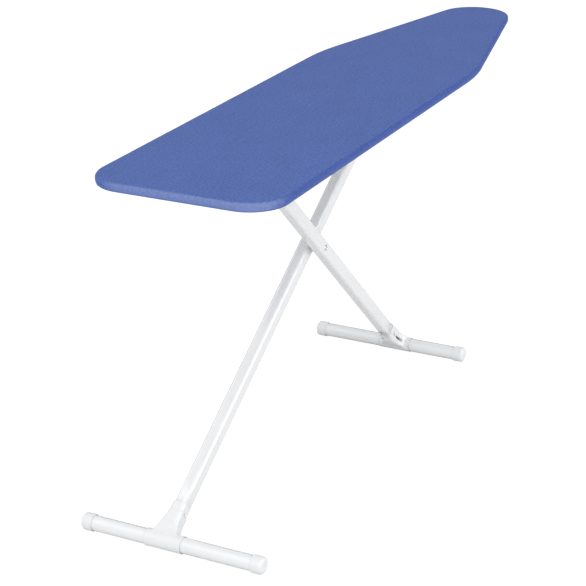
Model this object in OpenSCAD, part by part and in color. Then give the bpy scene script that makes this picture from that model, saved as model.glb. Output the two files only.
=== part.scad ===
// Free-standing ironing board with two crossed T legs. +X points at the nose, +Y is the
// left side when standing at the tail and facing the nose, and Z = 0 is the floor.

/* [Board] */
// Length of the covered board, tail to nose
board_len = 1385; // [1360:5:1400]
// Width of the covered board between its parallel sides
board_w = 341; // [330:1:345]
// Height of the ironing surface above the floor
top_z = 618; // [600:1:640]
// Corner radius at the tail
tail_r = 66; // [50:1:80]
// Place along X where the sides start to taper
taper_x = 220; // [200:5:235]
// Angle of each tapering side
taper_angle = 12.4; // [12:0.1:13]
// Radius that blends the parallel side into the taper
taper_blend_r = 500; // [200:50:800]

/* [Top layers] */
// Thickness of the cover cloth
cloth_t = 1.5; // [1:0.1:2]
// Thickness of the felt pad
pad_t = 5; // [3:0.5:6]
// Thickness of the steel top panel
panel_t = 1; // [0.8:0.1:1.5]
// Depth of the steel rim under the panel
rim_depth = 7.5; // [6:0.5:9]
// Width of the cover that turns under the rim
hem_w = 24; // [18:1:30]

/* [Legs] */
// Height of a leg tube's section, in the plane that the leg folds in
leg_h = 28; // [26:0.5:30]
// Width of a leg tube's section, across the board
leg_w = 22.5; // [21:0.5:24]
// Corner radius of a leg tube's section
leg_corner_r = 6; // [4:0.5:8]
// Wall thickness of every tube
wall = 1.2; // [1:0.1:1.6]
// Gap between the two legs, side by side
leg_gap = 4.5; // [3:0.5:6]
// Height of the leg pivots below the ironing surface
pivot_drop = 44; // [42:0.5:48]
// Place along X of the fixed hinge of the rear leg
hinge_x = 187; // [180:1:195]
// Place along X of the sliding pin of the front leg
slide_x = -397; // [-405:1:-390]
// Place along X of the foot of the front leg
front_foot_x = 208; // [200:1:215]

/* [Feet] */
// Diameter of the foot tubes
foot_d = 27; // [25:0.5:28]
// Diameter of the plastic caps and sleeves on the foot tubes
cap_d = 30.4; // [29:0.2:32]
// Width of the rear foot over its caps
rear_foot_w = 345; // [340:1:350]
// Width of the front foot over its caps
front_foot_w = 332; // [320:1:340]
// Length of a foot cap
cap_len = 21; // [16:1:26]
// Length of the sleeve of a T joint along its foot
sleeve_len = 70; // [60:1:84]

/* [Pins] */
// Diameter of the hinge bolt and of the sliding pin
pin_d = 8; // [7:0.5:9]
// Diameter of the scissor rivet
rivet_d = 8; // [7:0.5:9]
// Diameter of the lever axle
axle_d = 7; // [6:0.5:7]

/* [Hidden] */
$fn = 64;

hair = 0.05;                       // radial clearance of a running fit
eps = 1;                           // overshoot of a cutting solid
half_w = board_w / 2;
cap_r = cap_d / 2;
foot_r = foot_d / 2;
pin_r = pin_d / 2;
rivet_r = rivet_d / 2;
axle_r = axle_d / 2;
floor_flat = 0.6;                  // height of the flat ground off each cap
foot_z = cap_r - floor_flat;       // height of the foot tube axes
pivot_z = top_z - pivot_drop;

// The rear foot and the nose are the two ends of the object, so X = 0 is halfway
tail_gap = 22.6;                   // the tail ends this far in front of the rear foot
half_len = (board_len + tail_gap + 2 * cap_r) / 2;
nose_x = half_len;
tail_x = half_len - board_len;
rear_foot_x = cap_r - half_len;

// Layers, from the top down
pad_top = top_z - cloth_t;
panel_top = pad_top - pad_t;
panel_low = panel_top - panel_t;
rim_low = panel_low - rim_depth;
cover_low = rim_low - cloth_t;

// Legs: angles below the horizontal, lengths between the pivot and the foot axis
drop = pivot_z - foot_z;
rear_run = hinge_x - rear_foot_x;
front_run = front_foot_x - slide_x;
rear_angle = atan2(drop, rear_run);
front_angle = atan2(drop, front_run);
rear_len = drop / sin(rear_angle);
front_len = drop / sin(front_angle);
leg_y = (leg_w + leg_gap) / 2;     // the rear leg is at +leg_y and the front leg at -leg_y
leg_over = 18;                     // tube beyond its top pivot

// The legs cross where their axes meet, the same share of the way down each leg
cross_share = (hinge_x - slide_x) / (rear_run + front_run);
rear_cross = rear_len * cross_share;
front_cross = front_len * cross_share;

// Rails: two upright webs with a flange at the top, either side of the legs
rail_in = leg_y + leg_w / 2 + 1.6;
rail_t = 1.5;
rail_out = rail_in + rail_t;
rail_flange = 14;
rail_low = pivot_z - 18;
rail_bevel_run = 25;               // the lower corners of each rail are cut off this far along
rail_bevel_rise = 12;              // and this far up
rail_x0 = slide_x - 180;
rail_x1 = hinge_x + 22;
slot_half = pin_r + 5;             // the sliding pin rises and falls a little as it travels
slot_x0 = slide_x - 156;
slot_x1 = slide_x + 72;
notch_pitch = 24;
notch_count = 8;
fold_stop = 2;                     // the legs fold to this angle below the board
relief_r = 11;                     // notch in each rail for the ends of the scissor rivet
relief_x = hinge_x - rear_cross * cos(fold_stop);
relief_z = pivot_z - rear_cross * sin(fold_stop);
rivet_xs = [rail_x0 + 14, slide_x + 40, slide_x + 215, slide_x + 390, rail_x1 - 16];

// Braces and ribs: small steel angles under the panel
brace_w = 18;
brace_t = 1.5;
bar_inset = 34;                    // the bars stop short of the turned-under cover
brace_xs = [-520, -205, -20, 150];
rib_xs = [285, 430, 575];
tail_rib_x = tail_x + 46;

// Height lever
axle_x = slide_x + 97;
axle_z = pivot_z + 20;
arm_t = 2.5;
arm_in = rail_out + 0.8;
arm_len = 125;
arm_h = 11;
lever_rod_x = slide_x + 12;
lever_rod_r = 3;
lever_rod_y = 129;
grip_len = 82;
spring_wire_r = 0.9;
spring_turns = 6;

// Colours
blue = [0.34, 0.43, 0.68];
white = [0.93, 0.93, 0.94];
zinc = [0.72, 0.73, 0.75];
felt = [0.85, 0.84, 0.80];

// Board outline, each point moved inward by inset along its arc's radius
function arc(cx, cy, r, from, to, steps) =
    [for (i = [0:steps]) let (a = from + (to - from) * i / steps)
        [cx + r * cos(a), cy + r * sin(a)]];

blend_x = taper_x - taper_blend_r * tan(taper_angle / 2);
nose_r = (blend_x * sin(taper_angle) + (half_w - taper_blend_r) * cos(taper_angle)
          + taper_blend_r - nose_x * sin(taper_angle)) / (1 - sin(taper_angle));

function left_side(inset) = concat(
    arc(nose_x - nose_r, 0, nose_r - inset, 0, 90 - taper_angle, 14),
    arc(blend_x, half_w - taper_blend_r, taper_blend_r - inset, 90 - taper_angle, 90, 4),
    arc(tail_x + tail_r, half_w - tail_r, tail_r - inset, 90, 180, 10));

module outline(inset) {
    left = left_side(inset);
    n = len(left);
    right = [for (i = [n - 1:-1:1]) [left[i][0], -left[i][1]]];
    polygon(concat(left, right));
}

module layer(inset, low, high) {
    translate([0, 0, low]) linear_extrude(high - low) outline(inset);
}

module ring(outer_inset, inner_inset, low, high) {
    translate([0, 0, low]) linear_extrude(high - low) difference() {
        outline(outer_inset);
        outline(inner_inset);
    }
}

// A rod along Y between two places
module y_rod(r, y0, y1) {
    translate([0, y0, 0]) rotate([-90, 0, 0]) cylinder(r = r, h = y1 - y0);
}

module y_tube(r_out, r_in, y0, y1) {
    difference() {
        y_rod(r_out, y0, y1);
        y_rod(r_in, y0 - eps, y1 + eps);
    }
}

module hex_y(across, y0, y1) {
    translate([0, y0, 0]) rotate([-90, 0, 0])
        cylinder(r = across / 2 / cos(30), h = y1 - y0, $fn = 6);
}

// ---- Board ----

module cover() color(blue) {
    difference() {
        layer(0, cover_low, top_z);
        layer(cloth_t, cover_low - eps, pad_top);
    }
    ring(cloth_t, hem_w, cover_low, rim_low);
}

module cover_hem() color(blue)
    ring(hem_w, hem_w + 7, cover_low - 0.5, rim_low + 0.5);

module felt_pad() color(felt)
    layer(cloth_t, panel_top, pad_top);

module top_panel() color(white) {
    vent_r = 9;
    pitch_x = 62;
    pitch_y = 52;
    rows = 2;
    difference() {
        layer(cloth_t, panel_low, panel_top);
        for (i = [0:19], j = [-rows:rows])
            let (x = tail_x + 70 + i * pitch_x, y = j * pitch_y)
                if (x < taper_x + 60 || (abs(j) < 2 && x < nose_x - 250) || j == 0)
                    translate([x, y, panel_low - eps]) cylinder(r = vent_r, h = panel_t + 2 * eps, $fn = 32);
    }
}

module rim_frame() color(white) {
    lip = 12;
    low_lip = 8;
    ring(cloth_t, cloth_t + 1.2, rim_low, panel_low);
    ring(cloth_t + 1.2, cloth_t + lip, panel_low - 1, panel_low);
    ring(cloth_t + 1.2, cloth_t + low_lip, rim_low, rim_low + 1);
}

module rail_slot() {
    union() {
        translate([slot_x0, 0, pivot_z - slot_half])
            cube([slot_x1 - slot_x0, rail_out + eps, 2 * slot_half]);
        for (x = [slot_x0, slot_x1]) translate([x, 0, pivot_z]) y_rod(slot_half, 0, rail_out + eps);
        for (i = [0:notch_count - 1])
            translate([slot_x1 - 18 - i * notch_pitch, 0, pivot_z + slot_half])
                y_rod(5, 0, rail_out + eps);
    }
}

// The corner cut off a rail's lower edge at one end, way being 1 or -1 into the rail
module rail_bevel(x, way) {
    run = way * rail_bevel_run;
    back = -way * eps;
    translate([x, rail_out + eps, rail_low]) rotate([90, 0, 0]) linear_extrude(rail_t + 2 * eps)
        polygon([[0, rail_bevel_rise], [run, 0], [run, -eps], [back, -eps], [back, rail_bevel_rise]]);
}

// One rail on the +Y side; the other is its mirror image
module rail() color(white) {
    difference() {
        union() {
            translate([rail_x0, rail_in, rail_low])
                cube([rail_x1 - rail_x0, rail_t, panel_low - rail_low]);
            translate([rail_x0, rail_out, panel_low - rail_t])
                cube([rail_x1 - rail_x0, rail_flange, rail_t]);
        }
        rail_slot();
        rail_bevel(rail_x0, 1);
        rail_bevel(rail_x1, -1);
        translate([relief_x, 0, relief_z]) y_rod(relief_r, 0, rail_out + eps);
        translate([relief_x - relief_r, 0, rail_low - eps])
            cube([2 * relief_r, rail_out + eps, relief_z - rail_low + eps]);
        translate([hinge_x, 0, pivot_z]) y_rod(pin_r + hair, 0, rail_out + eps);
        translate([axle_x, 0, axle_z]) y_rod(axle_r + hair, 0, rail_out + eps);
    }
}

module left_rail() rail();
module right_rail() mirror([0, 1, 0]) rail();

// A steel angle across the board between two Y places
module angle_bar(x, y0, y1) {
    translate([x - brace_w / 2, y0, panel_low - brace_t]) cube([brace_w, y1 - y0, brace_t]);
    translate([x - brace_t / 2, y0, rim_low]) cube([brace_t, y1 - y0, rim_depth - brace_t]);
}

module braces() color(white) {
    for (x = brace_xs) angle_bar(x, rail_out + rail_flange + 0.5, half_w - bar_inset);
}

module left_braces() braces();
module right_braces() mirror([0, 1, 0]) braces();

module nose_ribs() color(white) {
    for (x = rib_xs) let (reach = half_w - (x - taper_x) * tan(taper_angle) - bar_inset)
        angle_bar(x, -reach, reach);
}

module tail_rib() color(white)
    angle_bar(tail_rib_x, bar_inset - half_w, half_w - bar_inset);

module rail_rivets() color(zinc) {
    head_r = 4;
    for (x = rivet_xs, side = [-1, 1])
        translate([x, side * (rail_out + rail_flange / 2), panel_low - rail_t])
            intersection() {
                translate([0, 0, 1.5]) sphere(r = head_r);
                translate([0, 0, -5]) cylinder(r = head_r, h = 5);
            }
}

module at_hinge() translate([hinge_x, 0, pivot_z]) children();

module hinge_bolt() color(zinc) at_hinge() {
    y_rod(pin_r, -rail_out - 9, rail_out);
    hex_y(13, rail_out, rail_out + 5.3);
}

module hinge_nut() color(zinc) at_hinge() difference() {
    hex_y(13, -rail_out - 6.5, -rail_out);
    y_rod(pin_r + hair, -rail_out - 8, -rail_out + eps);
}

module hinge_washer() color(zinc) at_hinge()
    y_tube(9, pin_r + hair, rail_in - 1.2, rail_in);

module hinge_spacer() color(white) at_hinge()
    y_tube(7, pin_r + hair, -rail_in, leg_gap / 2 - 0.4);

module at_axle() translate([axle_x, 0, axle_z]) children();

module lever_spring() color(zinc) at_axle() {
    coil_r = axle_r + 2.4;
    for (i = [0:spring_turns - 1])
        translate([0, -arm_in - arm_t - 2 - 2 * spring_wire_r * i, 0]) rotate([90, 0, 0])
            rotate_extrude($fn = 32) translate([coil_r, 0]) circle(r = spring_wire_r + 0.05, $fn = 16);
}

// ---- Height lever ----

module lever_axle() color(zinc) at_axle()
    y_rod(axle_r, -arm_in - arm_t - 16, arm_in + arm_t + 4);

// One locking arm on the +Y side, bored for the axle and ending in a hooked finger
module lock_arm(rod_hole) color(zinc) difference() {
    translate([0, arm_in, 0]) {
        at_axle() y_rod(9, 0, arm_t);
        translate([axle_x - arm_len, 0, axle_z - arm_h / 2]) cube([arm_len, arm_t, arm_h]);
        translate([axle_x - arm_len, 0, axle_z - arm_h / 2 - 1.5]) cube([12, arm_t, 4]);
    }
    at_axle() y_rod(axle_r, 0, arm_in + arm_t + eps);
    if (rod_hole) translate([lever_rod_x, 0, axle_z]) y_rod(lever_rod_r, 0, arm_in + arm_t + eps);
}

module left_lock_arm() lock_arm(false);
module right_lock_arm() mirror([0, 1, 0]) lock_arm(true);

module at_lever_rod() translate([lever_rod_x, 0, axle_z]) children();

module lever_rod() color(zinc) at_lever_rod()
    y_rod(lever_rod_r, -lever_rod_y, -arm_in);

module lever_grip() color(white) at_lever_rod() difference() {
    union() {
        y_rod(8, -lever_rod_y + 2, -lever_rod_y + grip_len);
        translate([0, -lever_rod_y + 2, 0]) sphere(r = 8);
        y_rod(9.5, -lever_rod_y + grip_len, -lever_rod_y + grip_len + 4);
    }
    y_rod(lever_rod_r, -lever_rod_y, -arm_in);
}

// ---- Parts that both legs share. Each is drawn with the top pivot at the origin,
// the leg along +X and the foot across it along Y ----

module leg_section(shrink) {
    square_h = leg_h - 2 * leg_corner_r;
    square_w = leg_w - 2 * leg_corner_r;
    r = leg_corner_r - shrink;
    for (sz = [-1, 1], sy = [-1, 1])
        translate([sz * square_h / 2, sy * square_w / 2]) circle(r = r);
    square([square_h + 2 * r, square_w], center = true);
    square([square_h, square_w + 2 * r], center = true);
}

module leg_bar(shrink, x0, x1) {
    translate([x0, 0, 0]) rotate([0, 90, 0]) linear_extrude(x1 - x0) leg_section(shrink);
}

module leg_tube(length, cross) color(white) difference() {
    leg_bar(0, -leg_over, length - foot_r);
    leg_bar(wall, -leg_over - eps, length);
    y_rod(pin_r + hair, -leg_w, leg_w);
    translate([cross, 0, 0]) y_rod(rivet_r + hair, -leg_w, leg_w);
    translate([length, 0, 0]) y_rod(foot_r + 0.1, -leg_w, leg_w);
}

module top_plug() color(white) difference() {
    union() {
        leg_bar(wall, -leg_over, 18);
        leg_bar(0, -leg_over - 2, -leg_over);
        leg_bar(4, -leg_over - 4, -leg_over - 2);
    }
    y_rod(pin_r + hair, -leg_w, leg_w);
}

module pivot_bush(cross) color(white) translate([cross, 0, 0])
    y_tube(rivet_r + 3, rivet_r + hair, wall - leg_w / 2, leg_w / 2 - wall);

// The joint's collar holds the leg, its sleeve holds the foot tube, and a web flares between them
module t_joint(length) color(white) {
    collar_top = length - 70;
    collar_low = length - 46;
    collar_w = leg_w / 2 + 2.6;
    web_h = cap_d - 7;
    difference() {
        union() {
            leg_bar(-2.6, collar_top, collar_low);
            translate([0, 0, -web_h / 2]) linear_extrude(web_h) polygon([
                [collar_low - 4, -collar_w], [length, 8 - sleeve_len / 2],
                [length, sleeve_len / 2 - 8], [collar_low - 4, collar_w]]);
            translate([length, 0, 0]) y_rod(cap_r - 0.8, -sleeve_len / 2, sleeve_len / 2);
        }
        leg_bar(-0.1, collar_top - eps, length);
        translate([length, 0, 0]) y_rod(foot_r + 0.1, -sleeve_len, sleeve_len);
    }
}

module joint_screws(length) color(white) {
    for (side = [-1, 1]) translate([length - 53, side * (leg_w / 2 + 2.6), 0])
        intersection() {
            translate([0, -side * 1.2, 0]) sphere(r = 3.4);
            translate([-5, side > 0 ? 0 : -5, -5]) cube([10, 5, 10]);
        }
}

// ---- Parts of a foot, drawn on its axis and across the board ----

module foot_tube(width) color(white) {
    half = width / 2 - 2;
    y_tube(foot_r, foot_r - wall, -half, half);
}

module foot_cap(width) color(white) difference() {
    end_r = 6;
    rotate([-90, 0, 0]) rotate_extrude() {
        square([cap_r - end_r, width / 2]);
        square([cap_r, width / 2 - end_r]);
        translate([cap_r - end_r, width / 2 - end_r]) circle(r = end_r);
    }
    translate([-cap_d, -eps, -cap_d]) cube([2 * cap_d, width / 2 - cap_len + eps, 2 * cap_d]);
    y_rod(foot_r, 0, width / 2 - 2);
    translate([-cap_d, 0, -foot_z - cap_d]) cube([2 * cap_d, width, cap_d]);
}

// ---- Rear leg ----

module on_rear() translate([hinge_x, leg_y, pivot_z]) rotate([0, 180 - rear_angle, 0]) children();
module at_rear_foot() translate([rear_foot_x, 0, foot_z]) children();

module rear_leg_tube() on_rear() leg_tube(rear_len, rear_cross);
module rear_foot_tube() at_rear_foot() foot_tube(rear_foot_w);
module rear_t_joint() on_rear() t_joint(rear_len);
module rear_left_cap() at_rear_foot() foot_cap(rear_foot_w);
module rear_right_cap() at_rear_foot() mirror([0, 1, 0]) foot_cap(rear_foot_w);
module rear_top_plug() on_rear() top_plug();
module rear_pivot_bush() on_rear() pivot_bush(rear_cross);
module rear_joint_screws() on_rear() joint_screws(rear_len);

module at_cross() on_rear() translate([rear_cross, -leg_y, 0]) children();

module scissor_rivet() color(zinc) at_cross() {
    reach = leg_w + leg_gap / 2;
    head_r = 6.5;
    y_rod(rivet_r, -reach - 0.4, reach + 2.8);
    intersection() {
        translate([0, 2.4 - reach, 0]) sphere(r = head_r);
        translate([-10, -reach - 8, -10]) cube([20, 7.6, 20]);
    }
}

module scissor_nut() color(zinc) at_cross() difference() {
    reach = leg_w + leg_gap / 2;
    hex_y(12, reach, reach + 2.4);
    y_rod(rivet_r, 0, reach + 8);
}

module scissor_washer() color(zinc) at_cross()
    y_tube(11, rivet_r, 0.4 - leg_gap / 2, leg_gap / 2);

// ---- Front leg ----

module on_front() translate([slide_x, -leg_y, pivot_z]) rotate([0, front_angle, 0]) children();
module at_front_foot() translate([front_foot_x, 0, foot_z]) children();
module at_slide() translate([slide_x, 0, pivot_z]) children();

module front_leg_tube() on_front() leg_tube(front_len, front_cross);
module front_foot_tube() at_front_foot() foot_tube(front_foot_w);
module front_t_joint() on_front() t_joint(front_len);
module front_left_cap() at_front_foot() foot_cap(front_foot_w);
module front_right_cap() at_front_foot() mirror([0, 1, 0]) foot_cap(front_foot_w);
module front_top_plug() on_front() top_plug();
module front_pivot_bush() on_front() pivot_bush(front_cross);
module front_joint_screws() on_front() joint_screws(front_len);

module slide_pin() color(zinc) at_slide()
    y_rod(pin_r, -rail_out - 5.5, rail_out + 5.5);

module slide_sleeve() color(white) at_slide()
    y_tube(6, pin_r, -leg_gap / 2, rail_in - 0.5);

module slide_rollers() color(white) at_slide() {
    for (side = [-1, 1]) translate([0, side * (rail_out + 1.5), 0])
        y_tube(7, pin_r, -1, 1);
}

module slide_clips() color(zinc) at_slide() {
    for (side = [-1, 1]) translate([0, side * (rail_out + 3.6), 0])
        y_tube(6, pin_r, -0.8, 0.8);
}

cover();
cover_hem();
felt_pad();
top_panel();
rim_frame();
left_rail();
right_rail();
left_braces();
right_braces();
nose_ribs();
tail_rib();
rail_rivets();
hinge_bolt();
hinge_nut();
hinge_washer();
hinge_spacer();
lever_spring();
lever_axle();
left_lock_arm();
right_lock_arm();
lever_rod();
lever_grip();
rear_leg_tube();
rear_foot_tube();
rear_t_joint();
rear_left_cap();
rear_right_cap();
rear_top_plug();
rear_pivot_bush();
rear_joint_screws();
scissor_rivet();
scissor_nut();
scissor_washer();
front_leg_tube();
front_foot_tube();
front_t_joint();
front_left_cap();
front_right_cap();
front_top_plug();
front_pivot_bush();
front_joint_screws();
slide_pin();
slide_sleeve();
slide_rollers();
slide_clips();
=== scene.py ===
"""Ironing board with crossed T legs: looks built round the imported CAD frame."""
import math

import bmesh
import bpy
import numpy as np
from mathutils import Matrix, Vector
from mathutils.geometry import delaunay_2d_cdt


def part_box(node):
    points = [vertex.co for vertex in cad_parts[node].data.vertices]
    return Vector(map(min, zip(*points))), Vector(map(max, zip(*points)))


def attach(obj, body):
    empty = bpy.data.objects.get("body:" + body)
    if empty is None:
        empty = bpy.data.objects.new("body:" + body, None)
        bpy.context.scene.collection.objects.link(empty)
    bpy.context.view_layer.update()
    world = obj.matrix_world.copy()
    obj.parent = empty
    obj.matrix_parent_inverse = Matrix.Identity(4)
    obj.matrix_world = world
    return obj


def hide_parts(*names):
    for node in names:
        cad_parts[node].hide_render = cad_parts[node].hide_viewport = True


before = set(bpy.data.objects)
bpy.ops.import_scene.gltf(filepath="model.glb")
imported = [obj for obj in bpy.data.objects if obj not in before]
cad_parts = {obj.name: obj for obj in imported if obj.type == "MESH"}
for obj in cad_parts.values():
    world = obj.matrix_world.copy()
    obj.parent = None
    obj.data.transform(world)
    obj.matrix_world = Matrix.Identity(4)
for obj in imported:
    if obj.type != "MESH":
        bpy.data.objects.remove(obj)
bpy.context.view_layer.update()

# ---------------------------------------------------------------- camera

SENSOR_MM = 36.0
LENS_MM = 106.0832765
LENS_SHIFT = (-0.009897611, 0.0017064846)
CAMERA_PLACE = (-2.8481, -1.2965, 1.4925)
CAMERA_TURN = math.radians(26.293)      # from +X towards +Y
CAMERA_DOWN = math.radians(22.457)
CAMERA_ROLL = math.radians(-0.379)


def set_camera():
    level = math.cos(CAMERA_DOWN)
    look = Vector((level * math.cos(CAMERA_TURN), level * math.sin(CAMERA_TURN), -math.sin(CAMERA_DOWN)))
    side = look.cross(Vector((0, 0, 1))).normalized()
    up = side.cross(look)
    right = math.cos(CAMERA_ROLL) * side + math.sin(CAMERA_ROLL) * up
    top = -math.sin(CAMERA_ROLL) * side + math.cos(CAMERA_ROLL) * up
    data = bpy.data.cameras.new("camera")
    data.sensor_width = SENSOR_MM
    data.lens = LENS_MM
    data.shift_x, data.shift_y = LENS_SHIFT
    data.clip_end = 60
    camera = bpy.data.objects.new("camera", data)
    spin = Matrix((right, top, -look)).transposed().to_4x4()
    camera.matrix_world = Matrix.Translation(CAMERA_PLACE) @ spin
    bpy.context.scene.collection.objects.link(camera)
    bpy.context.scene.camera = camera


set_camera()


# ---------------------------------------------------------------- studio

AMBIENT = 0.94
KEY_POWER = 30
FILL_POWER = 44
CARD_GAIN = 1.3
# How bright the reflected room is, by direction: from -X to +X, then from below to above. (place, level)
CARDS_IN_X = ((0.30, 1.0), (0.36, 0.1), (0.50, 0.1), (0.56, 0.9), (0.66, 0.9), (0.74, 0.1))
CARDS_IN_Z = ((0.10, 0.25), (0.15, 1.0), (0.30, 1.0), (0.34, 0.42), (0.44, 0.42), (0.5, 1.0), (0.8, 1.0), (0.9, 0.5))
FLOOR_HALF = 20
FLOOR_GLOW = 0.93       # what the camera sees, before the shadows
FLOOR_FILM = 0.16       # how much of the shadows the camera sees
FLOOR_BOUNCE = 0.72     # what the object sees


def grey(level):
    return (level, level, level)


def add_area(name, place, target, size, power):
    light = bpy.data.lights.new(name, "AREA")
    light.size = size
    light.energy = power
    obj = bpy.data.objects.new(name, light)
    obj.location = place
    obj.rotation_euler = (Vector(target) - Vector(place)).to_track_quat("-Z", "Y").to_euler()
    bpy.context.scene.collection.objects.link(obj)


def node(tree, kind, inputs=None, **settings):
    made = tree.nodes.new("ShaderNode" + kind)
    for key, value in settings.items():
        setattr(made, key, value)
    for key, value in (inputs or {}).items():
        if isinstance(value, bpy.types.NodeSocket):
            tree.links.new(value, made.inputs[key])
        else:
            made.inputs[key].default_value = value
    return made


def figure(tree, operation, *values):
    return node(tree, "Math", dict(enumerate(values)), operation=operation).outputs[0]


def choose(tree, question, no, yes):
    return node(tree, "MixShader", {0: question, 1: no.outputs[0], 2: yes.outputs[0]})


def level_ramp(tree, value, first, stops, last):
    """A smooth run of brightness levels, with the first and last at the ends of the 0 to 1 range."""
    made = node(tree, "ValToRGB", {"Fac": value})
    for place, level in stops:
        made.color_ramp.elements.new(place).color = (*grey(level), 1)
    made.color_ramp.elements[0].color = (*grey(first), 1)
    made.color_ramp.elements[-1].color = (*grey(last), 1)
    return node(tree, "RGBToBW", {"Color": made.outputs["Color"]}).outputs[0]


def set_world(scene):
    """Even light for matt surfaces, bright and dark cards for reflections, and white for the camera."""
    scene.world = bpy.data.worlds.new("studio")
    scene.world.use_nodes = True
    tree = scene.world.node_tree
    tree.nodes.clear()
    ray = node(tree, "LightPath").outputs
    room = node(tree, "Background", {"Color": (0.985, 0.99, 1, 1), "Strength": AMBIENT})
    way = node(tree, "SeparateXYZ", {"Vector": node(tree, "TexCoord").outputs["Generated"]}).outputs
    in_x = figure(tree, "MULTIPLY", level_ramp(tree, way["X"], 1.0, CARDS_IN_X, 0.1), CARD_GAIN)
    in_z = level_ramp(tree, way["Z"], 0.0, CARDS_IN_Z, 1.0)
    cards = node(tree, "Background", {"Color": (1, 1, 1, 1), "Strength": figure(tree, "MULTIPLY", in_x, in_z)})
    seen = node(tree, "Background", {"Color": (1, 1, 1, 1), "Strength": 1.0})
    lights = choose(tree, ray["Is Glossy Ray"], room, cards)
    both = choose(tree, ray["Is Camera Ray"], lights, seen)
    node(tree, "OutputWorld", {"Surface": both.outputs[0]})


def add_floor(scene):
    """A pale floor that shows the camera only soft shadows."""
    mesh = bpy.data.meshes.new("floor")
    corners = [(x * FLOOR_HALF, y * FLOOR_HALF, 0) for x, y in ((-1, -1), (1, -1), (1, 1), (-1, 1))]
    mesh.from_pydata(corners, [], [(0, 1, 2, 3)])
    floor = bpy.data.objects.new("floor", mesh)
    scene.collection.objects.link(floor)
    paint = bpy.data.materials.new("floor_paint")
    paint.use_nodes = True
    tree = paint.node_tree
    tree.nodes.clear()
    ray = node(tree, "LightPath").outputs
    bounce = node(tree, "BsdfDiffuse", {"Color": (*grey(FLOOR_BOUNCE), 1)})
    glow = node(tree, "Emission", {"Color": (1, 1, 1, 1), "Strength": FLOOR_GLOW})
    film = node(tree, "BsdfDiffuse", {"Color": (*grey(FLOOR_FILM), 1)})
    lit = node(tree, "AddShader", {0: glow.outputs[0], 1: film.outputs[0]})
    both = choose(tree, ray["Is Camera Ray"], bounce, lit)
    node(tree, "OutputMaterial", {"Surface": both.outputs[0]})
    floor.data.materials.append(paint)


def set_studio():
    scene = bpy.context.scene
    scene.view_settings.view_transform = "Standard"
    set_world(scene)
    add_area("key", (-3.2, -0.35, 1.95), (0, 0, 0.45), 1.6, KEY_POWER)
    add_area("fill", (0.6, -3.4, 0.8), (0, 0, 0.35), 2.2, FILL_POWER)
    add_floor(scene)


set_studio()


# ---------------------------------------------------------------- materials

def ramp(tree, value, stops):
    made = node(tree, "ValToRGB", {"Fac": value})
    elements = made.color_ramp.elements
    while len(elements) < len(stops):
        elements.new(0.5)
    for element, (place, colour) in zip(elements, stops):
        element.position = place
        element.color = (*colour, 1)
    return made.outputs["Color"]


def noise(tree, where, scale, detail=2.0, rough=0.5):
    made = node(tree, "TexNoise", {"Vector": where, "Scale": scale, "Detail": detail, "Roughness": rough})
    return made.outputs["Fac"]


def stretch(tree, where, factors):
    return node(tree, "Mapping", {"Vector": where, "Scale": factors}).outputs["Vector"]


def times(tree, a, b, mode="MULTIPLY"):
    made = node(tree, "MixRGB", {"Fac": 1.0, "Color1": a, "Color2": b}, blend_type=mode)
    return made.outputs["Color"]


def spread(tree, value, low, high):
    """The 0 to 1 of a texture, mapped to low and high."""
    made = node(tree, "MapRange", {"Value": value, "From Min": 0.3, "From Max": 0.7, "To Min": low, "To Max": high})
    return made.outputs["Result"]


def new_paint(name):
    paint = bpy.data.materials.new(name)
    paint.use_nodes = True
    tree = paint.node_tree
    return paint, tree, tree.nodes["Principled BSDF"]


def bump(tree, height, distance, strength=1.0, normal=None):
    inputs = {"Height": height, "Distance": distance, "Strength": strength}
    if normal is not None:
        inputs["Normal"] = normal
    return node(tree, "Bump", inputs).outputs["Normal"]


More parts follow.
